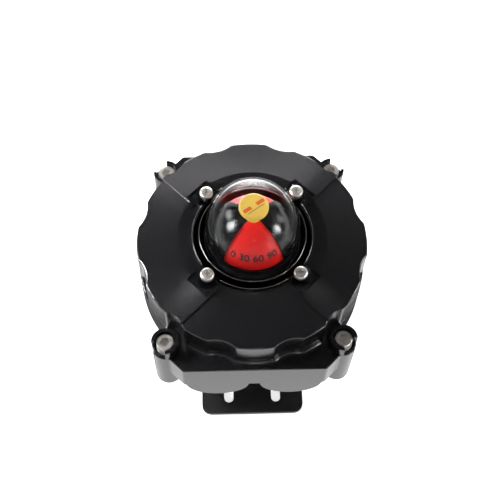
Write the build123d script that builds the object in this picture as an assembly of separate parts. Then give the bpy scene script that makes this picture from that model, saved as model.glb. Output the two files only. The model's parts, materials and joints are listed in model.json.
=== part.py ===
from build123d import *
import os
from math import asin, atan2, cos, degrees, hypot, radians, sin, sqrt, tan

# Valve limit switch box, millimetres. +Z up along the shaft, origin on the shaft's axis at the
# level of the bracket's feet. The viewer's front is -Y, the conduit entries are at +Y.

os.makedirs("parts", exist_ok=True)

# ---------------------------------------------------------------- driving dimensions
# Levels, each one above the one before
bracket_height = 30.0
housing_depth = 41.0
flange_thickness = 4.0
rim_height = 21.6
crown_rise = 4.9
parting_z = bracket_height + housing_depth
deck_z = parting_z + flange_thickness
rim_z = deck_z + rim_height
crown_z = rim_z + crown_rise

# Outline shared by the cover's flange and the housing
pot_radius = 68.0
deck_half_width = pot_radius - 26.5
deck_reach = pot_radius + 4.4
ear_x = pot_radius - 16.5
ear_y = pot_radius - 11.5
ear_radius = 8.0
outline_blend = 3.0

# Cover
rim_radius = pot_radius - 0.2
notch_radius = 18.0
notch_depth = 2.6
notch_angle = 16.5
pocket_radius = 11.3
rim_blend = 4.0
rim_edge_fillet = 1.0
rim_foot_fillet = 2.5
flange_edge_fillet = 0.8
crown_flat_radius = 44.0
band_rise = 1.6
band_inner_width = 19.0
band_outer_width = 14.0
band_pocket_radius = 46.0
band_wall = 1.3
band_start_radius = 39.0
collar_inner_radius = 6.1
collar_wall = 1.9
collar_height = 8.0
ear_spot_depth = 1.0
cover_wall = 5.0
spigot_wall = 5.0
cover_boss_radius = 12.0
cover_boss_depth = 6.0
spigot_reserve = 0.3
spigot_clearance = 0.1
seal_wire = 1.3

# Housing
housing_wall = 6.0
floor_thickness = 6.0
pot_draft = 2.5
pot_bottom_fillet = 8.0
seat_half_side = 31.0
seat_height = 4.0
boss_foot_height = 2.0
boss_web_width = 13.0
lobe_radius = 18.5
lobe_x = 21.7
lobe_drop = 17.5
block_drop = 19.0
conduit_bore_radius = 11.7
plug_length = 11.5
plug_inset = 0.5
plug_socket_radius = 8.0
plug_socket_depth = 7.5
bush_boss_radius = 11.0
bush_boss_rise = 1.0
post_radius = 3.6
ground_pocket_radius = 7.0
ground_pocket_depth = 3.2
ground_drop = 9.5
inner_ground_at = (40.0, -12.0)

# Shaft and its bearings
shaft_radius = 5.0
running_clearance = 0.05
tongue_thickness = 4.0
tongue_height = 4.0
tongue_half_width = 4.0
drive_end_radius = 4.8
shaft_stand = 14.0
bush_radius = 7.0
bush_length = 8.0
seal_wire_radius = 0.95
bore_lip = 1.0
bore_lip_clearance = 0.4
thrust_washer_thickness = 0.5
thrust_washer_radius = 8.0
collar_radius = 8.0
collar_thickness = 2.0
stub_radius = 3.0
clip_thickness = 0.8
clip_radius = 8.0
clip_groove_depth = 0.8
clip_stand = 1.2
clip_drop = 1.0

# Cams and their spline
cam_thickness = 8.0
cam_low_radius = 13.0
cam_rise = 2.0
turn_angle = 90.0
cam_web = 2.0
teeth = 24
tooth_root_radius = 7.2
tooth_height = 0.8
tooth_clearance = 0.15
spline_engagement = 2.5
cam_travel = 3.0
spring_turns = 2.5
spring_radius = 6.4
pin_radius = 1.0

# Micro switches
case_length = 27.8
case_width = 15.9
case_thickness = 10.3
case_hole_x = 11.1
case_hole_radius = 1.6
roller_radius = 2.4
roller_width = 4.0
roller_pin_radius = 0.8
roller_gap = 0.3
roller_rise = 6.5
lever_thickness = 0.5
lever_level = 2.15
lever_arm = 21.4
lever_eye_radius = 1.3
lever_width = 4.5
hinge_pin_radius = 0.5
hinge_cheek = 1.1
hinge_gap = 0.15
plunger_arm = 8.5
plunger_width = 2.4
plunger_gap = 0.3
plunger_clearance = 0.1
blade_width = 6.3
blade_thickness = 0.8
blade_length = 9.0
blade_root = 1.2
plate_thickness = 1.5
plate_stand = 6.0
spacer_height = 2.7
spacer_radius = 2.8
stack_screw_radius = 1.5

# Dome
dome_radius = 26.9
dome_wall = 2.2
dome_centre_z = crown_z + 16.0
dome_flange_radius = 35.5
dome_flange_thickness = 4.0
dome_flange_fillet = 1.6
dome_step_radius = 31.0
dome_step_depth = 0.7
dome_ear_radius = 6.3
dome_screw_xy = 26.5
dome_seal_thickness = 0.8
dome_seal_inner_radius = 28.2

# Indicator
mask_radius = 24.3
mask_wall = 0.8
mask_centre_z = crown_z + 3.8
mask_foot_radius = 27.6
mask_foot_thickness = 0.7
window_sill_z = crown_z + 5.6
window_angle = 90.0
mask_top_hole = 9.5
rotor_gap = 0.4
rotor_wall = 2.4
rotor_lift = 2.0
panel_thickness = 0.8
panel_setback = 0.6
rotor_hub_radius = 5.8
cap_radius = 8.3
cap_thickness = 4.5
cap_neck_radius = 6.6
cap_top_z = crown_z + 35.4
cap_edge_fillet = 1.4
indicator_screw_radius = 1.5

# Bracket
sheet = 3.0
bracket_half_length = 75.0
bracket_half_width = 32.2
leg_inner_y = 28.0
bend_radius = 3.0
foot_corner_radius = 6.0
slot_x = 15.0
slot_half_width = 2.9
slot_near_pattern = 80.0
slot_far_pattern = 130.0
bracket_bore_radius = 12.0
seat_screw_xy = 19.5

# Fasteners: shank radius, head radius, head height
m6 = (3.0, 5.0, 6.0)
m5 = (2.5, 4.6, 3.0)
m4 = (2.0, 4.0, 2.8)
m3 = (1.5, 2.75, 2.2)
hole_clearance = 0.3
thread_clearance = 0.05
push_clearance = 0.02
m6_washer_thickness = 1.6
m5_washer_thickness = 1.2
m5_washer_radius = 5.0

# Terminal strip
poles = 8
pole_pitch = 7.6
strip_depth = 20.0
strip_height = 16.0
strip_y = 36.0
strip_stand = 3.0

# Worked out from the sizes above
housing_cavity_radius = pot_radius - housing_wall
cover_cavity_radius = housing_cavity_radius - spigot_wall
spigot_depth = lobe_drop - conduit_bore_radius - spigot_reserve
floor_bottom_z = bracket_height + seat_height
floor_z = floor_bottom_z + floor_thickness
bush_top_z = floor_z + bush_boss_rise
collar_z = bush_top_z + thrust_washer_thickness
ground_z = parting_z - ground_drop
lobe_z = parting_z - lobe_drop
shaft_end_z = bracket_height - shaft_stand
shaft_clip_z = bracket_height - clip_drop
ear_radius_from_axis = hypot(ear_x, ear_y)
crown_angle = degrees(atan2(crown_rise, rim_radius - crown_flat_radius))
crown_under_z = crown_z - cover_wall
cam_high_radius = cam_low_radius + cam_rise
plate_z = floor_z + plate_stand
lower_case_z = plate_z + plate_thickness
upper_case_z = lower_case_z + case_thickness + spacer_height
lower_cam_z = lower_case_z + (case_thickness - cam_thickness) / 2
upper_cam_z = upper_case_z + (case_thickness - cam_thickness) / 2
sleeve_bottom_z = lower_cam_z + cam_thickness - spline_engagement
sleeve_top_z = upper_cam_z + spline_engagement
spring_space = lower_cam_z - collar_z - collar_thickness
spring_clip_z = upper_cam_z + cam_thickness + spring_space
spring_wire = (spring_space - cam_travel) / (spring_turns + 1)
stub_z = crown_z + 0.5
case_x = -lever_arm + case_length / 2 - 1.5
face_y = -(cam_high_radius + roller_gap + roller_radius + roller_rise)
pivot = (-lever_arm, face_y + lever_level)
release_angle = degrees(asin(cam_rise / lever_arm))
plunger_travel = plunger_arm * sin(radians(release_angle))
rotor_radius = mask_radius - mask_wall - rotor_gap
rotor_bottom_z = crown_z + rotor_lift
rotor_top_z = mask_centre_z + rotor_radius - rotor_wall
screw_seat_z = mask_centre_z + rotor_radius - 0.3


# ---------------------------------------------------------------- helpers
def cyl(radius, z0, z1, at=(0, 0)):
    """Upright cylinder from z0 to z1."""
    return Pos(at[0], at[1], z0) * Cylinder(radius, z1 - z0, align=(Align.CENTER, Align.CENTER, Align.MIN))


def block(x0, x1, y0, y1, z0, z1):
    """Box between two corners."""
    size = (x1 - x0, y1 - y0, z1 - z0)
    return Pos(x0, y0, z0) * Box(*size, align=(Align.MIN, Align.MIN, Align.MIN))


def ring(outer, inner, z0, z1, at=(0, 0)):
    """Flat ring."""
    return cyl(outer, z0, z1, at) - cyl(inner, z0 - 1, z1 + 1, at)


def prism(sketch, z0, z1):
    """A sketch drawn up from z0 to z1."""
    return extrude(Pos(0, 0, z0) * sketch, z1 - z0)


def turned(*points):
    """Solid of revolution about Z from (radius, height) corners."""
    return revolve(Plane.XZ * make_face(Polyline(*points, close=True)), Axis.Z)


def along_y(radius, y0, y1, x, z):
    """Cylinder lying along Y."""
    return Pos(x, (y0 + y1) / 2, z) * Rot(90, 0, 0) * Cylinder(radius, abs(y1 - y0))


def four_corners(x, y):
    """The four places mirrored about both axes."""
    return [(sx * x, sy * y) for sx in (-1, 1) for sy in (-1, 1)]


def polar(radius, angle):
    """Point at an angle in degrees."""
    return (radius * cos(radians(angle)), radius * sin(radians(angle)))


def wedge(angle, half_angle, reach):
    """Sketch of a sector about an angle."""
    corners = [polar(reach, angle + step * half_angle) for step in (-1, -0.5, 0, 0.5, 1)]
    return make_face(Polyline((0, 0), *corners, close=True))


def save(name, *solids):
    """Write one named node."""
    found = []
    for item in solids:
        found += list(item.solids())
    node = found[0] if len(found) == 1 else Compound(children=found)
    export_step(node, os.path.join("parts", name + ".step"))


def socket_screw(size, length, socket_radius):
    """Socket-head cap screw, the top of its head at z = 0."""
    shank, head, height = size
    body = cyl(head, -height, 0) + cyl(shank - thread_clearance, -height - length, -height)
    body = chamfer(body.edges().sort_by(Axis.Z)[-1], 0.4)
    return body - prism(RegularPolygon(socket_radius, 6), -height / 2, 1)


def pan_screw(size, length):
    """Pan-head screw with a cross recess, the underside of its head at z = 0."""
    shank, head, height = size
    body = cyl(head, 0, height) + cyl(shank - thread_clearance, -length, 0)
    body = fillet(body.edges().sort_by(Axis.Z)[-1], height * 0.45)
    cross = Rectangle(head * 0.95, head * 0.24) + Rectangle(head * 0.24, head * 0.95)
    return body - extrude(Pos(0, 0, height) * cross, -height * 0.6, taper=12)


# ---------------------------------------------------------------- outlines
def flange_outline():
    """Round pot with straight decks front and rear, and an ear at each corner."""
    run = ear_x - deck_half_width
    right = [(deck_half_width, -deck_reach), (ear_x, run - deck_reach)]
    right += [(ear_x, deck_reach - run), (deck_half_width, deck_reach)]
    left = [(-x, y) for x, y in reversed(right)]
    shape = make_face(Polyline(*right, *left, close=True)) + Circle(pot_radius)
    for at in four_corners(ear_x, ear_y):
        shape += Pos(*at) * Circle(ear_radius)
    return fillet(shape.vertices(), outline_blend)


def rim_outline():
    """Grip rim: a circle with a notch each side of the four axes and a pocket at each ear."""
    shape = Sketch() + Circle(rim_radius)
    for axis_angle in (0, 90, 180, 270):
        for side in (-1, 1):
            centre = rim_radius - notch_depth + notch_radius
            shape -= Pos(*polar(centre, axis_angle + side * notch_angle)) * Circle(notch_radius)
    for at in four_corners(ear_x, ear_y):
        shape -= Pos(*at) * Circle(pocket_radius)
    return fillet(shape.vertices(), rim_blend)


def crown_profile(lift):
    """Shallow cone rising from the rim to a flat centre, raised by lift."""
    reach = rim_radius + 6
    low = rim_z - 6 * tan(radians(crown_angle)) + lift
    corners = [(0, parting_z), (reach, parting_z), (reach, low)]
    return turned(*corners, (crown_flat_radius, crown_z + lift), (0, crown_z + lift))


# ---------------------------------------------------------------- cover
def raised_band():
    """One raised band along +X, hollowed at its inner end round the dome's ear."""
    half_in, half_out = band_inner_width / 2, band_outer_width / 2
    reach = rim_radius + 4
    plan = make_face(Polyline(
        (band_start_radius, -half_in), (reach, -half_out),
        (reach, half_out), (band_start_radius, half_in), close=True))
    band = crown_profile(band_rise) & prism(plan, deck_z, crown_z + 5)
    inner = half_in - band_wall
    return band - block(0, band_pocket_radius, -inner, inner, crown_z, crown_z + 5)


def rim_foot():
    """Strip of the front deck with the rim's foot blended into it."""
    width, inner_y = deck_half_width - rim_foot_fillet, deck_half_width
    slab = block(-width, width, flange_edge_fillet - deck_reach, -inner_y, deck_z - 1, deck_z)
    wall = block(-width, width, -deck_reach, -inner_y, deck_z - 1, deck_z + 2 * rim_foot_fillet)
    strip = slab + (prism(rim_outline(), deck_z - 1, rim_z) & wall)
    foot = strip.edges().filter_by_position(Axis.Z, deck_z - 0.01, deck_z + 0.01)
    return fillet(foot.filter_by(lambda e: hypot(e.center().X, e.center().Y) < rim_radius + 0.1
                                 and abs(e.center().X) < width - 0.01), rim_foot_fillet)


def cover():
    rim = prism(rim_outline(), deck_z, crown_z + 5)
    drum = crown_profile(0) & rim
    top_edges = drum.edges().filter_by(
        lambda e: abs(e.center().Z - rim_z) < 1.5 and hypot(e.center().X, e.center().Y) > 60)
    drum = fillet(top_edges, rim_edge_fillet)
    drum += cyl(rim_radius - 8, parting_z, deck_z + 1)
    for quarter in range(4):
        drum += (Rot(0, 0, 45 + 90 * quarter) * raised_band()) & rim
    plate = prism(flange_outline(), parting_z, deck_z)
    plate = fillet(plate.edges().filter_by_position(Axis.Z, deck_z - 0.01, deck_z + 0.01), flange_edge_fillet)
    body = drum + plate
    body += rim_foot() + Rot(0, 0, 180) * rim_foot()
    for x, y in four_corners(ear_x, ear_y):
        outer = collar_inner_radius + collar_wall
        wall = ring(outer, collar_inner_radius, deck_z - 1, deck_z + collar_height, (x, y))
        away = (x, x + outer + 1) if x > 0 else (x - outer - 1, x)
        beyond = (y, y + outer + 1) if y > 0 else (y - outer - 1, y)
        body += wall - block(*away, *beyond, deck_z - 2, deck_z + collar_height + 1)
        body -= cyl(collar_inner_radius, deck_z - ear_spot_depth, deck_z + collar_height + 1, (x, y))
        body -= cyl(m6[0] + hole_clearance, parting_z - 1, deck_z + 1, (x, y))
    spigot = housing_cavity_radius - spigot_clearance
    body += cyl(spigot, parting_z - spigot_depth, parting_z)
    slope = tan(radians(crown_angle))
    inner_rim_z = crown_under_z - (cover_cavity_radius - crown_flat_radius) * slope
    body -= turned(
        (0, parting_z - spigot_depth - 1), (cover_cavity_radius, parting_z - spigot_depth - 1),
        (cover_cavity_radius, inner_rim_z), (crown_flat_radius, crown_under_z), (0, crown_under_z))
    body += cyl(cover_boss_radius, crown_under_z - cover_boss_depth, crown_under_z)
    body -= cyl(bush_radius, crown_under_z - cover_boss_depth - 1, crown_z - bore_lip)
    body -= cyl(shaft_radius + bore_lip_clearance, crown_z - 3, crown_z + 1)
    groove_z = parting_z - spigot_depth / 2
    groove = seal_wire + spigot_clearance
    body -= ring(spigot + 1, spigot - 2 * seal_wire, groove_z - groove, groove_z + groove)
    for at in four_corners(dome_screw_xy, dome_screw_xy):
        body -= cyl(m4[0], crown_under_z + 0.5, crown_z + 1, at)
    return body


def cover_seal():
    path = housing_cavity_radius - seal_wire - spigot_clearance / 4
    return Pos(0, 0, parting_z - spigot_depth / 2) * Torus(path, seal_wire)


# ---------------------------------------------------------------- housing
def conduit_lobes(y0, y1):
    """Twin round bosses running along Y."""
    lobes = [along_y(lobe_radius, y0, y1, x, lobe_z) for x in (-lobe_x, lobe_x)]
    above = block(-deck_reach, deck_reach, y0 - 1, y1 + 1, parting_z, deck_z + lobe_radius)
    return lobes[0] + lobes[1] - above


def lower_housing():
    outline = prism(flange_outline(), parting_z - block_drop, parting_z)
    pot = turned((0, floor_bottom_z), (pot_radius - pot_draft, floor_bottom_z),
                 (pot_radius, parting_z - flange_thickness), (0, parting_z - flange_thickness))
    pot = fillet(pot.edges().sort_by(Axis.Z)[0], pot_bottom_fillet)
    body = outline + pot
    lobe_start = pot_radius - 22
    body += conduit_lobes(-deck_reach, -lobe_start) + conduit_lobes(lobe_start, deck_reach)
    for x, y in four_corners(ear_x, ear_y):
        boss = cyl(ear_radius, bracket_height + boss_foot_height, parting_z - 1, (x, y))
        body += fillet(boss.edges().sort_by(Axis.Z)[0], 1.5)
        web = block(ear_radius_from_axis - 22, ear_radius_from_axis, -boss_web_width / 2,
                    boss_web_width / 2, floor_bottom_z + 3, parting_z - 1)
        body += Rot(0, 0, degrees(atan2(y, x))) * web
    seat = seat_half_side
    body += block(-seat, seat, -seat, seat, bracket_height, floor_bottom_z + 1)
    body -= cyl(housing_cavity_radius, floor_z, parting_z + 1)
    body += cyl(bush_boss_radius, floor_z - 1, bush_top_z)
    for at in plate_screw_places() + block_screw_places():
        top = plate_z if at in plate_screw_places() else floor_z + strip_stand
        body += cyl(post_radius, floor_z - 1, top, at)
        body -= cyl(m3[0], floor_z - 2, top + 1, at)
    body -= cyl(bush_radius, bracket_height + bore_lip, bush_top_z + 1)
    body -= cyl(shaft_radius + bore_lip_clearance, bracket_height - 1, bracket_height + 2)
    for x in (-lobe_x, lobe_x):
        body -= along_y(conduit_bore_radius, housing_cavity_radius - 20, deck_reach + 1, x, lobe_z)
    for at in four_corners(ear_x, ear_y):
        body -= cyl(m6[0], bracket_height + 12, parting_z + 1, at)
    for at in four_corners(seat_screw_xy, seat_screw_xy):
        body -= cyl(m5[0], bracket_height - 1, floor_z - 2, at)
    body -= along_y(ground_pocket_radius, deck_reach - ground_pocket_depth, deck_reach + 1, 0, ground_z)
    body -= along_y(m5[0], deck_reach - 9, deck_reach, 0, ground_z)
    body -= cyl(m4[0], floor_z - 4.5, floor_z + 1, inner_ground_at)
    return body


def plate_screw_places():
    """Posts under the switch plate."""
    return [(case_x - case_length / 2 - 4, face_y - 5), (case_x + case_length / 2 + 4, face_y - 5)]


def block_screw_places():
    """Posts under the terminal strip."""
    reach = poles * pole_pitch / 2 - 2
    return [(-reach, strip_y), (reach, strip_y)]


def conduit_plug():
    """Blanking plug with a hexagon socket, flush in the left-hand rear entry."""
    face = deck_reach - plug_inset
    body = along_y(conduit_bore_radius - thread_clearance, face - plug_length, face, -lobe_x, lobe_z)
    socket = Plane(origin=(-lobe_x, face, lobe_z), z_dir=(0, -1, 0)) * RegularPolygon(plug_socket_radius, 6)
    return body - extrude(socket, plug_socket_depth)


def outer_ground_screw():
    """Hexagon-head earth screw with its washer, in a pocket of the rear face."""
    face = deck_reach - ground_pocket_depth
    washer = along_y(5.0, face, face + 1, 0, ground_z)
    head = Plane(origin=(0, face + 1, ground_z), z_dir=(0, 1, 0)) * RegularPolygon(4.6, 6)
    shank = along_y(m5[0] - thread_clearance, face - 5, face + 1, 0, ground_z)
    return washer + extrude(head, 3.4) + shank


# ---------------------------------------------------------------- shaft group
def shaft():
    body = cyl(shaft_radius, shaft_clip_z - clip_stand, stub_z)
    body += cyl(drive_end_radius, shaft_end_z + tongue_height, shaft_clip_z - clip_stand)
    slab = tongue_thickness / 2
    body += block(-tongue_half_width, tongue_half_width, -slab, slab, shaft_end_z, shaft_end_z + tongue_height)
    body += cyl(collar_radius, collar_z, collar_z + collar_thickness)
    body += cyl(stub_radius, stub_z, rotor_top_z)
    body -= cyl(indicator_screw_radius, rotor_top_z - 8, rotor_top_z + 1)
    for z in (shaft_clip_z, spring_clip_z):
        body -= ring(shaft_radius + 1, shaft_radius - clip_groove_depth, z, z + clip_thickness)
    return body - cross_pin(pin_radius, collar_radius)


def cross_pin(radius, reach):
    """Rod across the shaft, at the middle of the sleeve."""
    return Pos(0, 0, (sleeve_bottom_z + sleeve_top_z) / 2) * Rot(0, 90, 0) * Cylinder(radius, 2 * reach)


def retaining_clip(z):
    """Open-ended clip in a groove of the shaft."""
    clip = ring(clip_radius, shaft_radius - clip_groove_depth + 0.05, z + 0.05, z + clip_thickness - 0.05)
    return clip - block(0, clip_radius + 1, -3.2, 3.2, z - 1, z + 2)


def toothed(root_radius, height):
    """Spline section with straight-flanked teeth."""
    shape = Sketch() + Circle(root_radius)
    pitch = 360 / teeth
    for number in range(teeth):
        foot = [polar(root_radius - 0.3, pitch * (number + step)) for step in (-0.27, 0.27)]
        tip = [polar(root_radius + height, pitch * (number + step)) for step in (0.17, -0.17)]
        shape += make_face(Polyline(*foot, *tip, close=True))
    return shape


def spline_sleeve():
    body = prism(toothed(tooth_root_radius, tooth_height), sleeve_bottom_z, sleeve_top_z)
    body -= cyl(shaft_radius + push_clearance, sleeve_bottom_z - 1, sleeve_top_z + 1)
    return body - cross_pin(pin_radius, tooth_root_radius + tooth_height + 1)


def cam_outline(direction):
    """Disc whose rim rises over the shaft's turn. direction +1 is high at the start of the turn
    and -1 at its end, with the follower at -90 degrees."""
    start = -90.0 if direction > 0 else -90.0 - turn_angle
    steps = 6
    ramp = []
    for step in range(steps + 1):
        angle = start - direction * turn_angle * step / steps
        ramp.append(polar(cam_high_radius - cam_rise * step / steps, angle))
    end = start - direction * turn_angle
    crest = start + direction * 14
    foot = start + direction * 44
    sweep = (end + foot) / 2 + (180 if abs(end - foot) < 180 else 0)
    lines = [Spline(*ramp)]
    lines += [ThreePointArc(polar(cam_high_radius, start), polar(cam_high_radius, (start + crest) / 2),
                            polar(cam_high_radius, crest))]
    lines += [Line(polar(cam_high_radius, crest), polar(cam_low_radius, foot))]
    lines += [ThreePointArc(polar(cam_low_radius, foot), polar(cam_low_radius, sweep),
                            polar(cam_low_radius, end))]
    return make_face(lines)


def cam(direction, bottom_z, web_low):
    """Hand-set cam: splined counterbore on the sleeve's side, plain bore on the shaft's."""
    top_z = bottom_z + cam_thickness
    body = prism(cam_outline(direction), bottom_z, top_z)
    grip = tooth_root_radius + tooth_clearance
    web_z0, web_z1 = (bottom_z, bottom_z + cam_web) if web_low else (top_z - cam_web, top_z)
    splined = (web_z1, top_z + 1) if web_low else (bottom_z - 1, web_z0)
    body -= prism(toothed(grip, tooth_height), *splined)
    return body - cyl(shaft_radius + running_clearance, bottom_z - 1, top_z + 1)


def coil_spring(z0, z1):
    """Compression spring, its ends resting on their seats."""
    wire = spring_wire / 2
    height = z1 - z0 - spring_wire - 0.1
    path = Helix(pitch=height / spring_turns, height=height, radius=spring_radius,
                 center=(0, 0, z0 + wire + 0.05))
    section = Plane(origin=path @ 0, z_dir=path % 0) * Circle(wire)
    return sweep(section, path)


# ---------------------------------------------------------------- switches
def switch_case(z):
    x0, x1 = case_x - case_length / 2, case_x + case_length / 2
    body = block(x0, x1, face_y - case_width, face_y, z, z + case_thickness)
    body = fillet(body.edges().filter_by(Axis.Z), 0.8)
    middle = z + case_thickness / 2
    half = lever_width / 2 + hinge_gap
    for side in (-1, 1):
        z0, z1 = sorted((middle + side * half, middle + side * (half + hinge_cheek)))
        body += block(x0 + 0.4, pivot[0] + 1.7, face_y - 1, pivot[1] + 1.5, z0, z1)
    body += cyl(hinge_pin_radius, middle - half - hinge_cheek, middle + half + hinge_cheek, pivot)
    for x, y in stack_screw_places():
        body -= cyl(case_hole_radius, z - 1, z + case_thickness + 1, (x, y))
    slot = plunger_clearance
    px = pivot[0] + plunger_arm
    body -= block(px - plunger_width / 2 - slot, px + plunger_width / 2 + slot, face_y - 4, face_y + 1,
                  middle - 2 - slot, middle + 2 + slot)
    for x in blade_places():
        body -= block(x - blade_width / 2 - 0.02, x + blade_width / 2 + 0.02,
                      face_y - case_width - 1, face_y - case_width + blade_root + 0.05,
                      middle - blade_thickness / 2 - 0.02, middle + blade_thickness / 2 + 0.02)
    return body


def stack_screw_places():
    """The two holes that run through both switches."""
    y = face_y - case_width + 2.9
    return [(case_x - case_hole_x, y), (case_x + case_hole_x, y)]


def blade_places():
    """Three terminals along the back of a switch."""
    return [case_x - 7.6, case_x, case_x + 7.6]


def switch_blades(z):
    """Flat tab terminals."""
    back = face_y - case_width
    middle = z + case_thickness / 2
    tabs = []
    for x in blade_places():
        tab = block(x - blade_width / 2, x + blade_width / 2, back - blade_length, back + blade_root,
                    middle - blade_thickness / 2, middle + blade_thickness / 2)
        tabs.append(tab - cyl(0.9, middle - 1, middle + 1, (x, back - blade_length + 3)))
    return tabs


def swung(solid, angle):
    """Turn a lever part about its pivot."""
    x, y = pivot
    return Pos(x, y, 0) * Rot(0, 0, angle) * Pos(-x, -y, 0) * solid


def roller_centre():
    return (0.0, face_y + roller_rise)


def switch_lever(z, angle):
    """Spring-steel lever: eye, strip and two roller ears."""
    middle = z + case_thickness / 2
    half = lever_width / 2
    x, y = pivot
    cx, cy = roller_centre()
    strip = block(x, cx + 2.0, y - lever_thickness / 2, y + lever_thickness / 2, middle - half, middle + half)
    eye = cyl(lever_eye_radius, middle - half, middle + half, pivot)
    body = strip + eye
    ear_inner = roller_width / 2 + 0.15
    for side in (-1, 1):
        z0, z1 = sorted((middle + side * ear_inner, middle + side * (ear_inner + lever_thickness)))
        ear = block(cx - 2.0, cx + 2.0, y - lever_thickness / 2, cy, z0, z1) + cyl(2.0, z0, z1, (cx, cy))
        body += ear
    body += cyl(roller_pin_radius, middle - ear_inner - 0.2, middle + ear_inner + 0.2, (cx, cy))
    body -= cyl(hinge_pin_radius + running_clearance, middle - half - 1, middle + half + 1, pivot)
    return swung(body, angle)


def switch_roller(z, angle):
    middle = z + case_thickness / 2
    half = roller_width / 2
    body = ring(roller_radius, roller_pin_radius + running_clearance, middle - half, middle + half,
                roller_centre())
    return swung(body, angle)


def switch_plunger(z, out):
    """Push button under the lever, standing out by its travel when released."""
    middle = z + case_thickness / 2
    x = pivot[0] + plunger_arm
    top = face_y + lever_level - lever_thickness / 2 - plunger_gap + out
    body = block(x - plunger_width / 2, x + plunger_width / 2, face_y - 2.8 + out, top, middle - 2, middle + 2)
    tip = body.edges().filter_by(Axis.Z).sort_by(Axis.Y)[-2:]
    return fillet(tip, 0.8)


def switch_plate():
    """Sheet that carries both switches on two posts."""
    (ax, ay), (bx, by) = plate_screw_places()
    body = block(ax - 4.5, bx + 4.5, face_y - case_width - 1, face_y - 0.5, plate_z, plate_z + plate_thickness)
    body = fillet(body.edges().filter_by(Axis.Z), 2.5)
    for at in plate_screw_places() + stack_screw_places():
        body -= cyl(m3[0] + hole_clearance / 2, plate_z - 1, plate_z + 4, at)
    return body


# ---------------------------------------------------------------- terminal strip
def terminal_block():
    half = poles * pole_pitch / 2 + 4
    z0 = floor_z + strip_stand
    y0, y1 = strip_y - strip_depth / 2, strip_y + strip_depth / 2
    body = block(-half, half, y0, y1, z0, z0 + strip_height * 0.55)
    body += block(-half + 7, half - 7, strip_y - 6.5, strip_y + 6.5, z0, z0 + strip_height)
    for at in block_screw_places():
        body += cyl(3.4, z0, z0 + strip_height * 0.55, at)
        body -= cyl(m3[0] + hole_clearance / 2, z0 - 1, z0 + strip_height, at)
        body -= cyl(m3[1] + 0.2, z0 + 4, z0 + strip_height + 1, at)
    for x, y in terminal_places():
        body -= cyl(2.1, z0 + 5, z0 + strip_height + 1, (x, y))
        entry_y = y + (4 if y > strip_y else -4)
        body -= along_y(1.7, y, entry_y + (3 if y > strip_y else -3), x, z0 + 7)
    return body


def terminal_places():
    """Two rows of clamp screws."""
    inner = poles - 2
    xs = [(number - (inner - 1) / 2) * pole_pitch for number in range(inner)]
    return [(x, strip_y + side * 3.6) for x in xs for side in (-1, 1)]


def terminal_screw(x, y):
    z0 = floor_z + strip_stand
    body = cyl(2.0, z0 + 10, z0 + 13.5, (x, y)) + cyl(1.2, z0 + 5, z0 + 10, (x, y))
    return body - block(x - 2.1, x + 2.1, y - 0.3, y + 0.3, z0 + 12.7, z0 + 14)


# ---------------------------------------------------------------- dome and indicator
def dome_flange_outline():
    """Round flange with four ears."""
    shape = Sketch() + Circle(dome_flange_radius)
    for at in four_corners(dome_screw_xy, dome_screw_xy):
        shape += Pos(*at) * Circle(dome_ear_radius)
    return fillet(shape.vertices(), 2)


def dome_window():
    flange_z = crown_z + dome_seal_thickness
    flange_top = flange_z + dome_flange_thickness
    body = prism(dome_flange_outline(), flange_z, flange_top)
    body = fillet(body.edges().filter_by_position(Axis.Z, flange_top - 0.01, flange_top + 0.01), 0.6)
    body += cyl(dome_step_radius, flange_z, flange_top + dome_step_depth)
    body += cyl(dome_radius, flange_z, dome_centre_z)
    body += Pos(0, 0, dome_centre_z) * Sphere(dome_radius)
    inner = dome_radius - dome_wall
    body -= cyl(inner, flange_z - 40, dome_centre_z)
    body -= Pos(0, 0, dome_centre_z) * Sphere(inner)
    body -= cyl(50, flange_z - 40, flange_z)
    for at in four_corners(dome_screw_xy, dome_screw_xy):
        body -= cyl(m4[0] + hole_clearance, flange_z - 1, flange_top + 1, at)
        body -= cyl(m4[1] + hole_clearance, flange_top, flange_top + dome_step_depth + 1, at)
    return body


def hemisphere(radius, bottom_z):
    """Half ball with a straight skirt down to bottom_z."""
    ball = Pos(0, 0, mask_centre_z) * Sphere(radius)
    return (ball - cyl(radius + 1, bottom_z - 40, mask_centre_z)) + cyl(radius, bottom_z, mask_centre_z)


def windows(reach, grow=0):
    """Front and rear openings, seen from the shaft."""
    half = window_angle / 2 + degrees(grow / rotor_radius)
    top = dome_centre_z + dome_radius
    return prism(wedge(-90, half, reach) + wedge(90, half, reach), window_sill_z - grow, top)


def indicator_mask():
    body = hemisphere(mask_radius, crown_z) + cyl(mask_foot_radius, crown_z, crown_z + mask_foot_thickness)
    body -= hemisphere(mask_radius - mask_wall, crown_z - 1)
    body -= windows(mask_radius * 2)
    return body - cyl(mask_top_hole, mask_centre_z + 5, crown_z + 60)


def indicator_rotor():
    body = hemisphere(rotor_radius, rotor_bottom_z) - hemisphere(rotor_radius - rotor_wall, rotor_bottom_z - 1)
    body += cyl(rotor_hub_radius, stub_z, rotor_top_z + 0.5)
    body -= cyl(m3[1] + hole_clearance, screw_seat_z, screw_seat_z + 2)
    body -= panel_shell(push_clearance)
    body -= cyl(stub_radius + push_clearance, stub_z - 1, rotor_top_z)
    return body - cyl(indicator_screw_radius + hole_clearance, rotor_top_z - 1, rotor_top_z + 5)


def panel_shell(grow=0):
    """The outer skin of the rotor inside the two windows, or its pocket when grown a little."""
    skin = hemisphere(rotor_radius + grow, rotor_bottom_z)
    skin -= hemisphere(rotor_radius - panel_thickness - grow, rotor_bottom_z - 1)
    skin &= windows(rotor_radius * 2, grow)
    return skin - cyl(cap_neck_radius + panel_setback - grow, rotor_top_z, dome_centre_z + dome_radius)


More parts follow.
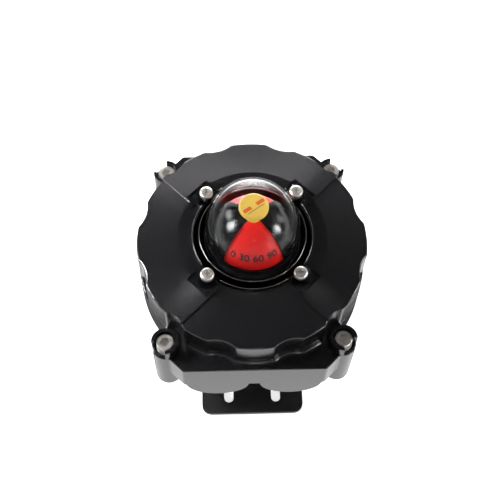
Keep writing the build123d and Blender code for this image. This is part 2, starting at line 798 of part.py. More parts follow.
def indicator_cap():
    body = cyl(cap_radius, cap_top_z - cap_thickness, cap_top_z)
    body = fillet(body.edges().sort_by(Axis.Z)[-1], cap_edge_fillet)
    crown = mask_centre_z + rotor_radius
    body += cyl(cap_neck_radius, crown - 0.9, cap_top_z - cap_thickness + 0.5)
    body -= cyl(4.6, crown - 3, crown + 3.4)
    skin = hemisphere(rotor_radius + 0.02, rotor_bottom_z)
    return body - skin


# ---------------------------------------------------------------- bracket
def bracket():
    """Bent strip: seat on top, two legs, two slotted feet."""
    outer = [(-bracket_half_length, 0), (-bracket_half_length, sheet), (-leg_inner_y - sheet, sheet)]
    outer += [(-leg_inner_y - sheet, bracket_height), (leg_inner_y + sheet, bracket_height)]
    outer += [(leg_inner_y + sheet, sheet), (bracket_half_length, sheet), (bracket_half_length, 0)]
    inner = [(leg_inner_y, 0), (leg_inner_y, bracket_height - sheet)]
    inner += [(-leg_inner_y, bracket_height - sheet), (-leg_inner_y, 0)]
    profile = make_face(Polyline(*outer, *inner, close=True))
    convex = [v for v in profile.vertices() if v.Y > bracket_height - 0.1]
    convex += [v for v in profile.vertices() if abs(v.Y) < 0.1 and abs(v.X) < leg_inner_y + 1]
    profile = fillet(convex, bend_radius + sheet)
    concave = [v for v in profile.vertices()
               if abs(abs(v.X) - leg_inner_y) < 0.1 and abs(v.Y - bracket_height + sheet) < 0.1]
    concave += [v for v in profile.vertices()
                if abs(abs(v.X) - leg_inner_y - sheet) < 0.1 and abs(v.Y - sheet) < 0.1]
    profile = fillet(concave, bend_radius)
    body = extrude(Plane.YZ * profile, bracket_half_width, both=True)
    tips = [e for e in body.edges().filter_by(Axis.Z)
            if abs(abs(e.center().Y) - bracket_half_length) < 0.1]
    body = fillet(tips, foot_corner_radius)
    near = slot_near_pattern / 2 - slot_half_width
    far = slot_far_pattern / 2 + slot_half_width
    slot = SlotOverall(far - near, 2 * slot_half_width, rotation=90)
    for x, y in four_corners(slot_x, (near + far) / 2):
        body -= prism(Pos(x, y) * slot, -1, sheet + 1)
    body -= cyl(bracket_bore_radius, bracket_height - sheet - 1, bracket_height + 1)
    for at in four_corners(seat_screw_xy, seat_screw_xy):
        body -= cyl(m5[0] + hole_clearance, bracket_height - sheet - 1, bracket_height + 1, at)
    return body


# ---------------------------------------------------------------- nodes
ears = four_corners(ear_x, ear_y)
dome_holes = four_corners(dome_screw_xy, dome_screw_xy)
ear_seat_z = deck_z - ear_spot_depth
cap_screw_top_z = ear_seat_z + m6_washer_thickness + m6[2]
dome_flange_z = crown_z + dome_seal_thickness
dome_seat_z = dome_flange_z + dome_flange_thickness
under_plate_z = bracket_height - sheet

save("lower_housing", lower_housing())
save("cover", cover())
save("cover_seal", cover_seal())
save("cover_screws", *[Pos(x, y, cap_screw_top_z) * socket_screw(m6, 24, 2.9) for x, y in ears])
save("cover_washers", *[ring(m6[1] + 0.4, m6[0] + 0.1, ear_seat_z, ear_seat_z + m6_washer_thickness, at)
                        for at in ears])
save("conduit_plug", conduit_plug())
save("outer_ground_screw", outer_ground_screw())
save("inner_ground_screw", Pos(*inner_ground_at, floor_z) * pan_screw(m4, 4))

save("lower_bush", ring(bush_radius, shaft_radius + running_clearance, bush_top_z - bush_length, bush_top_z))
upper_bush_z = crown_under_z - cover_boss_depth
save("upper_bush", ring(bush_radius, shaft_radius + running_clearance, upper_bush_z, upper_bush_z + bush_length - 1))
seal_path = bush_radius - seal_wire_radius
save("shaft_seals", *[Pos(0, 0, z) * Torus(seal_path, seal_wire_radius)
                      for z in (bracket_height + bore_lip + seal_wire_radius, crown_z - bore_lip - seal_wire_radius)])
save("thrust_washer", ring(thrust_washer_radius, shaft_radius + 0.1, bush_top_z, collar_z))

save("shaft", shaft())
save("shaft_clip", retaining_clip(shaft_clip_z))
save("spring_clip", retaining_clip(spring_clip_z))
save("spline_sleeve", spline_sleeve())
save("sleeve_pin", cross_pin(pin_radius - push_clearance, tooth_root_radius))
save("open_cam", cam(-1, lower_cam_z, True))
save("closed_cam", cam(1, upper_cam_z, False))
save("open_cam_spring", coil_spring(collar_z + collar_thickness, lower_cam_z))
save("closed_cam_spring", coil_spring(upper_cam_z + cam_thickness, spring_clip_z))

switches = {"open": (lower_case_z, release_angle, plunger_travel), "closed": (upper_case_z, 0, 0)}
for label, (case_z, angle, out) in switches.items():
    save(label + "_switch_case", switch_case(case_z))
    save(label + "_switch_terminals", *switch_blades(case_z))
    save(label + "_switch_lever", switch_lever(case_z, angle))
    save(label + "_switch_roller", switch_roller(case_z, angle))
    save(label + "_switch_plunger", switch_plunger(case_z, out))
save("switch_plate", switch_plate())
spacer_z = lower_case_z + case_thickness
save("switch_spacers", *[ring(spacer_radius, stack_screw_radius + 0.1, spacer_z, spacer_z + spacer_height, at)
                         for at in stack_screw_places()])
stack_top_z = upper_case_z + case_thickness
stack_length = stack_top_z - plate_z + 3
save("switch_screws", *[Pos(*at, stack_top_z) * pan_screw(m3, stack_length) for at in stack_screw_places()])
nut = RegularPolygon(3.1, 6) - Circle(m3[0])
save("switch_nuts", *[prism(Pos(*at) * nut, plate_z - 2.4, plate_z) for at in stack_screw_places()])
save("plate_screws", *[Pos(*at, plate_z + plate_thickness) * pan_screw(m3, 6.5) for at in plate_screw_places()])

save("terminal_block", terminal_block())
save("terminal_screws", *[terminal_screw(*at) for at in terminal_places()])
save("block_screws", *[Pos(*at, floor_z + strip_stand + 4) * pan_screw(m3, 7) for at in block_screw_places()])

save("dome_window", dome_window())
save("dome_seal", ring(dome_screw_xy * sqrt(2) - m4[0] - 1, dome_seal_inner_radius, crown_z, dome_flange_z))
save("dome_screws", *[Pos(x, y, dome_seat_z) * pan_screw(m4, dome_flange_thickness + 4) for x, y in dome_holes])
save("indicator_mask", indicator_mask())
save("indicator_rotor", indicator_rotor())
save("indicator_red_panels", panel_shell())
save("indicator_cap", indicator_cap())
save("indicator_screw", Pos(0, 0, screw_seat_z) * pan_screw(m3, 7))

save("bracket", bracket())
seat_holes = four_corners(seat_screw_xy, seat_screw_xy)
save("bracket_washers", *[ring(m5_washer_radius, m5[0] + 0.1, under_plate_z - m5_washer_thickness, under_plate_z, at)
                          for at in seat_holes])
save("bracket_screws", *[Pos(x, y, under_plate_z - m5_washer_thickness) * Rot(180, 0, 0) * pan_screw(m5, 11)
                         for x, y in seat_holes])
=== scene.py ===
import json
from math import cos, floor, pi, radians, sin

import bmesh
import bpy
from mathutils import Matrix, Vector


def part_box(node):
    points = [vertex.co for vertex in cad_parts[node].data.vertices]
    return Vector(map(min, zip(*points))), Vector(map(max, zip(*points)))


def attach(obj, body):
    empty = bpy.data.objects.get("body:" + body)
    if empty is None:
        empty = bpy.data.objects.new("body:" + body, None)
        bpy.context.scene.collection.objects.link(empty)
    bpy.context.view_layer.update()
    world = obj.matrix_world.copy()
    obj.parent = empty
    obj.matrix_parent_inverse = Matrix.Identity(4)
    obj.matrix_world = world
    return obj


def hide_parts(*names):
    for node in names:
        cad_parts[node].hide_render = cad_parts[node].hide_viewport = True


# Valve limit switch box. Metres, +Z up along the shaft, the viewer's front at -Y.

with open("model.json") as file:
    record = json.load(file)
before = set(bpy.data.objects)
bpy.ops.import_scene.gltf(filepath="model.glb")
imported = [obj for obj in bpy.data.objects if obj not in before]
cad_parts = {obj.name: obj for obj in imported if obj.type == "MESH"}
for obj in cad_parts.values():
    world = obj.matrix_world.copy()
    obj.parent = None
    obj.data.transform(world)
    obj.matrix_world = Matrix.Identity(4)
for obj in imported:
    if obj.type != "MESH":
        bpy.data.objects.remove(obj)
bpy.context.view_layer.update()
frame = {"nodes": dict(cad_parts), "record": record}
nodes = frame["nodes"]
MM = 0.001
WELD = 0.001 * MM
FULL_TURN = 360

# ---------------------------------------------------------------- looks of each material slot
# base colour, second colour, roughness from and to, metal, grain and relief depth in mm, coat, IOR
LOOKS = {
    "black_enamel": ((0.004, 0.004, 0.0045), (0.009, 0.009, 0.010), (0.14, 0.22), 0, 1.2, 0.14, 0.5, 1.5),
    "black_steel": ((0.006, 0.006, 0.006), (0.014, 0.014, 0.015), (0.35, 0.5), 0, 0.5, 0.008, 0.0, 1.5),
    "stainless": ((0.93, 0.89, 0.84), (0.78, 0.74, 0.69), (0.32, 0.46), 1, 0.6, 0.006, 0.0, 1.5),
    "shaft_steel": ((0.66, 0.65, 0.64), (0.50, 0.49, 0.48), (0.22, 0.40), 1, 0.7, 0.004, 0.0, 1.5),
    "bronze": ((0.62, 0.42, 0.20), (0.45, 0.29, 0.13), (0.35, 0.55), 1, 0.4, 0.006, 0.0, 1.5),
    "seal_rubber": ((0.02, 0.02, 0.02), (0.04, 0.04, 0.04), (0.6, 0.8), 0, 0.5, 0.008, 0.0, 1.5),
    "black_plastic": ((0.004, 0.004, 0.005), (0.008, 0.008, 0.009), (0.17, 0.23), 0, 1.2, 0.003, 0.0, 1.6),
    "yellow_plastic": ((0.97, 0.66, 0.13), (0.94, 0.60, 0.09), (0.30, 0.42), 0, 1.5, 0.004, 0.0, 1.46),
    "red_plastic": ((0.86, 0.014, 0.012), (0.78, 0.010, 0.010), (0.30, 0.42), 0, 1.5, 0.003, 0.0, 1.46),
    "switch_plastic": ((0.02, 0.02, 0.025), (0.04, 0.04, 0.045), (0.45, 0.6), 0, 0.6, 0.008, 0.0, 1.5),
    "white_plastic": ((0.80, 0.80, 0.77), (0.72, 0.72, 0.69), (0.4, 0.55), 0, 1.0, 0.004, 0.0, 1.46),
    "terminal_metal": ((0.75, 0.60, 0.32), (0.60, 0.46, 0.22), (0.25, 0.4), 1, 0.6, 0.004, 0.0, 1.5),
    "print_black": ((0.008, 0.006, 0.006), (0.02, 0.015, 0.015), (0.5, 0.65), 0, 0.6, 0.002, 0.0, 1.46),
    # painted highlight: bright metal finish of the beads that stand in for the lit edges of the window
    "painted_edge_highlight": ((0.62, 0.62, 0.63), (0.40, 0.40, 0.41), (0.18, 0.30), 1, 0.8, 0.004, 0.0, 1.5),
    "orange_mark": ((0.85, 0.16, 0.02), (0.75, 0.11, 0.015), (0.4, 0.5), 0, 1.0, 0.002, 0.0, 1.46),
}
CLOUD_SIZE = 22 * MM
CLOUD_DETAIL = 5
GRAIN_DETAIL = 2
COAT_ROUGHNESS = 0.12
COATED_GLOSS_TINT = (1.0, 0.95, 1.0, 1)
CLEAR_COLOUR = (0.97, 0.98, 0.98, 1)
CLEAR_IOR = 1.10
HAZE_SIZE = 12 * MM
HAZE_DETAIL = 4
HAZE_ROUGHNESS = (0.0, 0.02)


def new_material(name):
    """A material with the shader that Blender starts it with."""
    made = bpy.data.materials.new(name)
    made.use_nodes = True
    return made


def new_node(tree, kind, values=None, **settings):
    """Add a shader node: its settings first, then the values of its inputs."""
    made = tree.nodes.new("ShaderNode" + kind)
    for setting, value in settings.items():
        setattr(made, setting, value)
    for socket, value in (values or {}).items():
        made.inputs[socket].default_value = value
    return made


def noise(tree, place, lump, detail):
    """Noise over the shared frame, in lumps of about the size given."""
    made = new_node(tree, "TexNoise", {"Scale": 1 / lump, "Detail": detail})
    tree.links.new(place.outputs["Object"], made.inputs["Vector"])
    return made


def surface(name, first, second, rough, metal, grain, depth, coat, ior):
    """Material whose colour and gloss vary in broad clouds and whose relief has a fine grain."""
    made = new_material(name)
    tree = made.node_tree
    shader = tree.nodes["Principled BSDF"]
    place = new_node(tree, "TexCoord")
    broad = noise(tree, place, CLOUD_SIZE, CLOUD_DETAIL)
    fine = noise(tree, place, grain * MM, GRAIN_DETAIL)
    tint = new_node(tree, "Mix", {"A": (*first, 1), "B": (*second, 1)}, data_type="RGBA")
    gloss = new_node(tree, "MapRange", {"To Min": rough[0], "To Max": rough[1]})
    relief = new_node(tree, "Bump", {"Distance": depth * MM, "Strength": 1})
    tree.links.new(broad.outputs["Fac"], tint.inputs["Factor"])
    tree.links.new(broad.outputs["Fac"], gloss.inputs["Value"])
    tree.links.new(fine.outputs["Fac"], relief.inputs["Height"])
    tree.links.new(tint.outputs["Result"], shader.inputs["Base Color"])
    tree.links.new(gloss.outputs["Result"], shader.inputs["Roughness"])
    tree.links.new(relief.outputs["Normal"], shader.inputs["Normal"])
    shader.inputs["Metallic"].default_value = metal
    shader.inputs["IOR"].default_value = ior
    shader.inputs["Coat Weight"].default_value = coat
    shader.inputs["Coat Roughness"].default_value = COAT_ROUGHNESS
    if coat:
        shader.inputs["Specular Tint"].default_value = COATED_GLOSS_TINT
    return made


def clear_plastic():
    """Clear moulded window, with the faint haze that handling leaves."""
    made = new_material("clear_plastic")
    tree = made.node_tree
    shader = tree.nodes["Principled BSDF"]
    shader.inputs["Base Color"].default_value = CLEAR_COLOUR
    shader.inputs["Transmission Weight"].default_value = 1
    shader.inputs["IOR"].default_value = CLEAR_IOR
    place = new_node(tree, "TexCoord")
    haze = noise(tree, place, HAZE_SIZE, HAZE_DETAIL)
    gloss = new_node(tree, "MapRange", {"To Min": HAZE_ROUGHNESS[0], "To Max": HAZE_ROUGHNESS[1]})
    tree.links.new(haze.outputs["Fac"], gloss.inputs["Value"])
    tree.links.new(gloss.outputs["Result"], shader.inputs["Roughness"])
    return made


materials = {name: surface(name, *look) for name, look in LOOKS.items()}
materials["clear_plastic"] = clear_plastic()
for part in frame["record"]["subparts"]:
    mesh = nodes[part["node"]].data
    mesh.materials.clear()
    mesh.materials.append(materials[part["material_slot"]])


def two_tone_rotor():
    """Finish of the indicator's ball: red at the front and rear of its rest pose, black at the sides."""
    made = materials["red_plastic"].copy()
    made.name = "rotor_plastic"
    tree = made.node_tree
    tint = next(node for node in tree.nodes if node.bl_idname == "ShaderNodeMix")
    place = new_node(tree, "TexCoord")
    split = new_node(tree, "SeparateXYZ")
    across = new_node(tree, "Math", operation="ABSOLUTE")
    along = new_node(tree, "Math", operation="ABSOLUTE")
    facing = new_node(tree, "Math", operation="GREATER_THAN")
    choice = new_node(tree, "Mix", {"A": (*LOOKS["black_plastic"][0], 1)}, data_type="RGBA")
    tree.links.new(place.outputs["Object"], split.inputs[0])
    tree.links.new(split.outputs["X"], across.inputs[0])
    tree.links.new(split.outputs["Y"], along.inputs[0])
    tree.links.new(along.outputs[0], facing.inputs[0])
    tree.links.new(across.outputs[0], facing.inputs[1])
    tree.links.new(facing.outputs[0], choice.inputs["Factor"])
    tree.links.new(tint.outputs["Result"], choice.inputs["B"])
    tree.links.new(choice.outputs["Result"], tree.nodes["Principled BSDF"].inputs["Base Color"])
    return made


nodes["indicator_rotor"].data.materials[0] = two_tone_rotor()


def as_mesh(name, build, material, body):
    """A piece made by filling a bmesh, in one finish, riding with a body."""
    data = bpy.data.meshes.new(name)
    made = bmesh.new()
    build(made)
    made.to_mesh(data)
    made.free()
    piece = bpy.data.objects.new(name, data)
    bpy.context.scene.collection.objects.link(piece)
    data.materials.append(materials[material])
    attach(piece, body)
    return piece


# ---------------------------------------------------------------- figures printed on the red panels
# angles about the shaft count in degrees from +X towards +Y
FRONT_ANGLE = -90
REAR_ANGLE = 90
BALL_RISE = 3.8 * MM
FIGURES = "0 30 60 90"
FIGURE_HEIGHT = 4.5 * MM
FIGURE_TILT = 25.0
PRINT_LIFT = 0.06 * MM
# the height of a figure as a share of the font's size, and how much bolder it is as a share of its height
HEIGHT_IN_FONT = 0.7
BOLDNESS = 0.03
CELLS_IN_HEIGHT = 8

rotor_low, rotor_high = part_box("indicator_rotor")
ball_radius = (rotor_high.x - rotor_low.x) / 2
ball_centre = Vector((0, 0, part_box("indicator_mask")[0].z + BALL_RISE))


def letters(text, height):
    """Flat text centred on the origin, as a mesh in the XY plane cut into small cells."""
    curve = bpy.data.curves.new("letters", "FONT")
    curve.body = text
    curve.size = height / HEIGHT_IN_FONT
    curve.align_x = "CENTER"
    curve.align_y = "CENTER"
    curve.offset = height * BOLDNESS
    writer = bpy.data.objects.new("letters", curve)
    bpy.context.scene.collection.objects.link(writer)
    bpy.context.view_layer.update()
    flat = bmesh.new()
    flat.from_mesh(writer.to_mesh())
    bmesh.ops.triangulate(flat, faces=flat.faces[:])
    writer.to_mesh_clear()
    bpy.data.objects.remove(writer)
    cell = height / CELLS_IN_HEIGHT
    for axis in (0, 1):
        across = Vector((0, 0, 0))
        across[axis] = 1
        cuts = floor(max(abs(v.co[axis]) for v in flat.verts) / cell)
        for step in range(-cuts, cuts + 1):
            every = flat.verts[:] + flat.edges[:] + flat.faces[:]
            bmesh.ops.bisect_plane(flat, geom=every, plane_co=across * step * cell, plane_no=across)
    return flat


def on_ball(flat_x, flat_y, panel_angle):
    """A point of the print, laid on the indicator's ball."""
    tilt = radians(FIGURE_TILT) + flat_y / ball_radius
    turn = radians(panel_angle) + flat_x / (ball_radius * cos(radians(FIGURE_TILT)))
    reach = ball_radius + PRINT_LIFT
    level = reach * cos(tilt)
    return ball_centre + Vector((level * cos(turn), level * sin(turn), reach * sin(tilt)))


def figures(panel_angle):
    """Builder of the figures on one red panel."""
    def build(made):
        flat = letters(FIGURES, FIGURE_HEIGHT)
        placed = {v: made.verts.new(on_ball(v.co.x, v.co.y, panel_angle)) for v in flat.verts}
        for face in flat.faces:
            made.faces.new([placed[v] for v in face.verts])
        flat.free()
    return build


as_mesh("front_figures", figures(FRONT_ANGLE), "print_black", "shaft_group")
as_mesh("rear_figures", figures(REAR_ANGLE), "print_black", "shaft_group")

# ---------------------------------------------------------------- yellow cap
CAP_THICKNESS = 2.6 * MM
CAP_RAISE = 1.9 * MM
CAP_RIM_SHARE = 0.8
CAP_EDGE = 1.2 * MM
CAP_EDGE_STEPS = 8
CAP_STEPS = 64
CAP_SHARP_ANGLE = 40
NECK_RADIUS = 4.6 * MM

cap_low, cap_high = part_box("indicator_cap")
cap_radius = (cap_high.x - cap_low.x) / 2
cap_top = cap_high.z + CAP_RAISE


def yellow_cap(made):
    """Builder of the cap: a round button on a slim neck, turned about the shaft."""
    underside = cap_top - CAP_THICKNESS
    outline = [(0, cap_low.z), (NECK_RADIUS, cap_low.z), (NECK_RADIUS, underside),
               (cap_radius - CAP_EDGE / 2, underside), (cap_radius, cap_top - CAP_THICKNESS * CAP_RIM_SHARE)]
    for step in range(CAP_EDGE_STEPS + 1):
        angle = radians(90 * step / CAP_EDGE_STEPS)
        outline.append((cap_radius - CAP_EDGE * (1 - cos(angle)), cap_top - CAP_EDGE * (1 - sin(angle))))
    outline.append((0, cap_top))
    path = [made.verts.new((radius, 0, level)) for radius, level in outline]
    edges = [made.edges.new(pair) for pair in zip(path, path[1:])]
    bmesh.ops.spin(made, geom=path + edges, cent=(0, 0, 0), axis=(0, 0, 1), angle=2 * pi, steps=CAP_STEPS)
    bmesh.ops.remove_doubles(made, verts=made.verts[:], dist=WELD)
    bmesh.ops.recalc_face_normals(made, faces=made.faces[:])


cap = as_mesh("yellow_cap", yellow_cap, "yellow_plastic", "shaft_group")
cap.data.shade_smooth()
cap.data.set_sharp_from_angle(angle=radians(CAP_SHARP_ANGLE))
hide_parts("indicator_cap")

# ---------------------------------------------------------------- painted highlights: bright metal beads along the arrises of the window's foot
FLANGE_THICKNESS = 4.0 * MM
STEP_RADIUS = 31.0 * MM
STEP_RISE = 0.7 * MM
FOOT_RADIUS = 35.0 * MM
FOOT_DROP = 0.45 * MM
BEAD_RADIUS = 0.16 * MM
BEAD_SIDES = 8
BEAD_STEP_ANGLE = 3
EAR_ANGLES = (45, 135, 225, 315)
EAR_SPACING = 90
EAR_HALF_ANGLE = 12

flange_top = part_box("dome_seal")[1].z + FLANGE_THICKNESS
between_ears = [(ear + EAR_HALF_ANGLE, ear + EAR_SPACING - EAR_HALF_ANGLE) for ear in EAR_ANGLES]


def bead_ring(made, radius, level, turn):
    """The points round a bead's section, at one turn about the shaft."""
    points = []
    for side in range(BEAD_SIDES):
        angle = radians(FULL_TURN / BEAD_SIDES * side)
        reach = radius + BEAD_RADIUS * cos(angle)
        height = level + BEAD_RADIUS * sin(angle)
        points.append(made.verts.new((reach * cos(turn), reach * sin(turn), height)))
    return points


def bead(radius, level, arcs):
    """Builder of a thin round bead along one or more arcs, in degrees about the shaft."""
    def build(made):
        for start, end in arcs:
            steps = round((end - start) / BEAD_STEP_ANGLE)
            turns = [radians(start + (end - start) * step / steps) for step in range(steps + 1)]
            rings = [bead_ring(made, radius, level, turn) for turn in turns]
            for one, two in zip(rings, rings[1:]):
                for near in range(BEAD_SIDES):
                    far = (near + 1) % BEAD_SIDES
                    made.faces.new((one[near], one[far], two[far], two[near]))
            if end - start < FULL_TURN:
                made.faces.new(rings[0][::-1])
                made.faces.new(rings[-1])
        bmesh.ops.remove_doubles(made, verts=made.verts[:], dist=WELD)
        bmesh.ops.recalc_face_normals(made, faces=made.faces[:])
    return build


# painted highlights: thin bright metal beads on the window's step and foot, standing in for the lamps caught
# by its rounded edges
step_highlight_bead = bead(STEP_RADIUS, flange_top + STEP_RISE, [(0, FULL_TURN)])
foot_highlight_bead = bead(FOOT_RADIUS, flange_top - FOOT_DROP, between_ears)
as_mesh("window_step_painted_highlight", step_highlight_bead, "painted_edge_highlight", "housing").data.shade_smooth()
as_mesh("window_foot_painted_highlight", foot_highlight_bead, "painted_edge_highlight", "housing").data.shade_smooth()

# ---------------------------------------------------------------- boss and marks on the cap
BOSS_RADIUS = 1.9 * MM
BOSS_HEIGHT = 0.3 * MM
BOSS_SINK = 0.02 * MM
BOSS_SIDES = 32
BAR_WIDTH = 2.2 * MM
BAR_INSET = 1.5 * MM
BAR_ANGLE = 35.0
LINE_WIDTH = 0.25 * MM
LINE_OFFSET = -2.3 * MM
LINE_SHARE = 0.8
MARK_HEIGHT = 0.12 * MM
MARK_SINK = 0.05 * MM

bar_end = cap_radius - BAR_INSET
line_end = bar_end * LINE_SHARE


def centre_boss(made):
    """Builder of the small round boss in the middle of the cap."""
    place = Matrix.Translation((0, 0, cap_top + BOSS_HEIGHT / 2 - BOSS_SINK))
    bmesh.ops.create_cone(made, cap_ends=True, segments=BOSS_SIDES, radius1=BOSS_RADIUS,
                          radius2=BOSS_RADIUS - BOSS_HEIGHT / 2, depth=BOSS_HEIGHT, matrix=place)


def bar(start, end, width, offset, height):
    """Builder of a thin raised strip on the cap, along its marking direction."""
    def build(made):
        turn = Matrix.Rotation(radians(BAR_ANGLE), 4, "Z")
        corners = [(start, offset - width / 2), (end, offset - width / 2),
                   (end, offset + width / 2), (start, offset + width / 2)]
        rings = [[made.verts.new(turn @ Vector((x, y, cap_top + level))) for x, y in corners]
                 for level in (-MARK_SINK, height)]
        made.faces.new(rings[1])
        made.faces.new(rings[0][::-1])
        for near in range(4):
            far = (near + 1) % 4
            made.faces.new((rings[0][near], rings[0][far], rings[1][far], rings[1][near]))
    return build


left_bar = bar(-bar_end, -BOSS_RADIUS, BAR_WIDTH, 0, MARK_HEIGHT)
right_bar = bar(BOSS_RADIUS, bar_end, BAR_WIDTH, 0, MARK_HEIGHT)
thin_line = bar(-line_end, line_end, LINE_WIDTH, LINE_OFFSET, MARK_HEIGHT / 2)
as_mesh("cap_boss", centre_boss, "yellow_plastic", "shaft_group")
as_mesh("cap_bar_left", left_bar, "orange_mark", "shaft_group")
as_mesh("cap_bar_right", right_bar, "orange_mark", "shaft_group")
as_mesh("cap_line", thin_line, "print_black", "shaft_group")

# ---------------------------------------------------------------- floor and shade
WHITE = (1, 1, 1, 1)
FLOOR_HALF = 3.0
FLOOR_LEVEL = -0.2 * MM
FLOOR_COLOUR = (0.85, 0.85, 0.85, 1)
FLOOR_ROUGHNESS = 0.9
FLOOR_IN_GLOSS = 1.0
FLOOR_GLOW = 0.78
SHADE_HALF_WIDTH = 92 * MM
SHADE_FRONT = -45 * MM
SHADE_BACK = 75 * MM


def sheet(name, corners, level, material):
    """A flat piece with four corners, not yet in the scene."""
    data = bpy.data.meshes.new(name)
    data.from_pydata([(x, y, level) for x, y in corners], [], [(0, 1, 2, 3)])
    data.materials.append(material)
    return bpy.data.objects.new(name, data)


def white_to_eye(material, level, glow):
    """Show a diffuse floor as even white in gloss and through glass, and as white with its shadow
    to the eye."""
    tree = material.node_tree
    shader = tree.nodes["Principled BSDF"]
    shader.inputs["Emission Color"].default_value = WHITE
    path = new_node(tree, "LightPath")
    seen = new_node(tree, "Math", {1: glow}, operation="MULTIPLY")
    plain = new_node(tree, "Emission", {"Strength": level})
    either = new_node(tree, "Math", operation="MAXIMUM")
    mix = new_node(tree, "MixShader")
    tree.links.new(path.outputs["Is Camera Ray"], seen.inputs[0])
    tree.links.new(seen.outputs[0], shader.inputs["Emission Strength"])
    tree.links.new(path.outputs["Is Glossy Ray"], either.inputs[0])
    tree.links.new(path.outputs["Is Transmission Ray"], either.inputs[1])
    tree.links.new(either.outputs[0], mix.inputs[0])
    tree.links.new(shader.outputs[0], mix.inputs[1])
    tree.links.new(plain.outputs[0], mix.inputs[2])
    tree.links.new(mix.outputs[0], tree.nodes["Material Output"].inputs["Surface"])


floor_material = new_material("floor")
floor_shader = floor_material.node_tree.nodes["Principled BSDF"]
floor_shader.inputs["Base Color"].default_value = FLOOR_COLOUR
floor_shader.inputs["Roughness"].default_value = FLOOR_ROUGHNESS
white_to_eye(floor_material, FLOOR_IN_GLOSS, FLOOR_GLOW)
floor_corners = [(x * FLOOR_HALF, y * FLOOR_HALF) for x, y in ((-1, -1), (1, -1), (1, 1), (-1, 1))]
floor_piece = sheet("floor", floor_corners, FLOOR_LEVEL, floor_material)
bpy.context.scene.collection.objects.link(floor_piece)

# the shade under the object, painted as a dark sheet in the seal rubber's finish, which only the gloss of
# its walls shows
shade_corners = [(-SHADE_HALF_WIDTH, SHADE_FRONT), (SHADE_HALF_WIDTH, SHADE_FRONT),
                 (SHADE_HALF_WIDTH, SHADE_BACK), (-SHADE_HALF_WIDTH, SHADE_BACK)]
shade = sheet("shade", shade_corners, 0.0, materials["seal_rubber"])
bpy.context.scene.collection.objects.link(shade)
shade.visible_camera = shade.visible_diffuse = shade.visible_transmission = shade.visible_shadow = False

# ---------------------------------------------------------------- world
# the sine of the elevation, and the colour of the room there
SKY = (
    (0.0, (0.35, 0.35, 0.355, 1)),
    (0.5, (0.23, 0.23, 0.2346, 1)),
    (0.76, (0.15, 0.15, 0.153, 1)),
    (0.88, (0.06, 0.06, 0.062, 1)),
)


def studio():
    """A dim room that darkens overhead, white where the camera looks past the floor."""
    made = bpy.data.worlds.new("studio")
    made.use_nodes = True
    tree = made.node_tree
    direction = new_node(tree, "TexCoord")
    height = new_node(tree, "SeparateXYZ")
    ramp = new_node(tree, "ValToRGB")
    seen = new_node(tree, "LightPath")
    shown = new_node(tree, "Mix", {"B": WHITE}, data_type="RGBA")
    tree.links.new(direction.outputs["Generated"], height.inputs[0])
    tree.links.new(height.outputs["Z"], ramp.inputs[0])
    tree.links.new(seen.outputs["Is Camera Ray"], shown.inputs["Factor"])
    tree.links.new(ramp.outputs[0], shown.inputs["A"])
    tree.links.new(shown.outputs["Result"], tree.nodes["Background"].inputs["Color"])
    stops = ramp.color_ramp.elements
    stops[0].position, stops[0].color = SKY[0]
    stops[1].position, stops[1].color = SKY[-1]
    for position, colour in SKY[1:-1]:
        stops.new(position).color = colour
    return made


bpy.context.scene.world = studio()

# ---------------------------------------------------------------- lights
LIGHT_TARGET = Vector((0, 0, 90 * MM))
FADE_FROM = 0.1
FADE_POWER = 5
# name, azimuth from +X towards +Y, elevation, distance, width, height, radiance in the middle
SOFT_LIGHTS = (
    ("rear_strip", 90, 5, 0.55, 1.2, 0.58, 36.0),
    ("left_high", 156, 70, 1.0, 0.32, 0.32, 4.5),
    ("right_high", 20, 67, 1.0, 0.30, 0.30, 1.2),
    ("left_round", 171, 32, 1.0, 0.75, 0.75, 135.0),
    ("right_round", 0, 23, 1.0, 0.70, 0.90, 28.0),
    ("right_front", -38, 20, 1.0, 0.40, 0.80, 22.0),
    ("front_round", -88, 22, 1.2, 0.4, 0.7, 10.0),
)


def aimed(piece, azimuth, elevation, distance):
    """Stand a light off the object, facing it. Azimuth is counted from +X towards +Y."""
    bpy.context.scene.collection.objects.link(piece)
    flat = cos(radians(elevation)) * distance
    piece.location = LIGHT_TARGET + Vector((flat * cos(radians(azimuth)), flat * sin(radians(azimuth)),
                                            sin(radians(elevation)) * distance))
    piece.rotation_mode = "QUATERNION"
    piece.rotation_quaternion = (LIGHT_TARGET - piece.location).to_track_quat("-Z", "Y")


def panel_light(name, azimuth, elevation, distance, width, height, radiance):
    """Soft panel with an even face."""
    lamp = bpy.data.lights.new(name, "AREA")
    lamp.shape = "RECTANGLE"
    lamp.size = width
    lamp.size_y = height
    lamp.energy = radiance * pi * width * height
    aimed(bpy.data.objects.new(name, lamp), azimuth, elevation, distance)


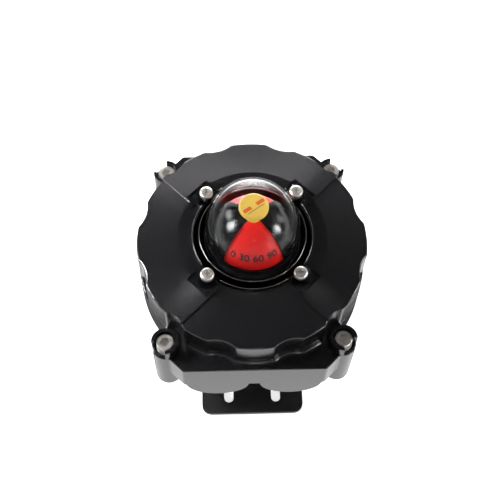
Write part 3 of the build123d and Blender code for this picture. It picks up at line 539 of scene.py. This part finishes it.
def fading_glow(name, width, height, radiance):
    """A glow that is brightest in the middle of its sheet and fades to nothing at an oval rim."""
    made = new_material(name)
    tree = made.node_tree
    tree.nodes.remove(tree.nodes["Principled BSDF"])
    place = new_node(tree, "TexCoord")
    scaled = new_node(tree, "VectorMath", {1: (2 / width, 2 / height, 1)}, operation="MULTIPLY")
    reach = new_node(tree, "VectorMath", operation="LENGTH")
    fade = new_node(tree, "MapRange", {"From Min": FADE_FROM, "From Max": 1.0, "To Min": 1.0, "To Max": 0.0},
                    interpolation_type="SMOOTHSTEP")
    steep = new_node(tree, "Math", {1: FADE_POWER}, operation="POWER")
    strength = new_node(tree, "Math", {1: radiance}, operation="MULTIPLY")
    emission = new_node(tree, "Emission")
    tree.links.new(place.outputs["Object"], scaled.inputs[0])
    tree.links.new(scaled.outputs["Vector"], reach.inputs[0])
    tree.links.new(reach.outputs["Value"], fade.inputs["Value"])
    tree.links.new(fade.outputs["Result"], steep.inputs[0])
    tree.links.new(steep.outputs[0], strength.inputs[0])
    tree.links.new(strength.outputs[0], emission.inputs["Strength"])
    tree.links.new(emission.outputs[0], tree.nodes["Material Output"].inputs["Surface"])
    return made


def soft_light(name, azimuth, elevation, distance, width, height, radiance):
    """Oval diffuser with a soft rim, hidden from the camera."""
    corners = [(x * width / 2, y * height / 2) for x, y in ((-1, -1), (-1, 1), (1, 1), (1, -1))]
    piece = sheet(name, corners, 0, fading_glow(name, width, height, radiance))
    piece.visible_camera = False
    aimed(piece, azimuth, elevation, distance)


panel_light("rear_panel", azimuth=97, elevation=33, distance=1.1, width=1.0, height=0.36, radiance=1.7)
for soft in SOFT_LIGHTS:
    soft_light(*soft)

# ---------------------------------------------------------------- camera
# elevation, turn about the vertical and roll in degrees, and the small shift of the framing
ELEVATION = 63.5
TURN = 4.0
ROLL = 2.56
DISTANCE = 600.77 * MM
LENS = 72.0
SENSOR = 36.0
SHIFT = (-0.00344, 0.00472)
TARGET = Vector((0, 0, 81.6 * MM))

forward = Vector((0, cos(radians(ELEVATION)), -sin(radians(ELEVATION))))
right = Vector((1, 0, 0))
above = right.cross(forward)
roll = radians(ROLL)
turned_right = right * cos(roll) + above * sin(roll)
turned_up = above * cos(roll) - right * sin(roll)
turn = Matrix.Rotation(radians(-TURN), 3, "Z")
axes = [turn @ axis for axis in (turned_right, turned_up, -forward)]
camera_data = bpy.data.cameras.new("camera")
camera_data.lens = LENS
camera_data.sensor_width = SENSOR
camera_data.shift_x, camera_data.shift_y = SHIFT
camera = bpy.data.objects.new("camera", camera_data)
bpy.context.scene.collection.objects.link(camera)
rotation = Matrix(axes).transposed().to_4x4()
camera.matrix_world = Matrix.Translation(TARGET - (turn @ forward) * DISTANCE) @ rotation
bpy.context.scene.camera = camera
bpy.context.scene.view_settings.view_transform = "Standard"
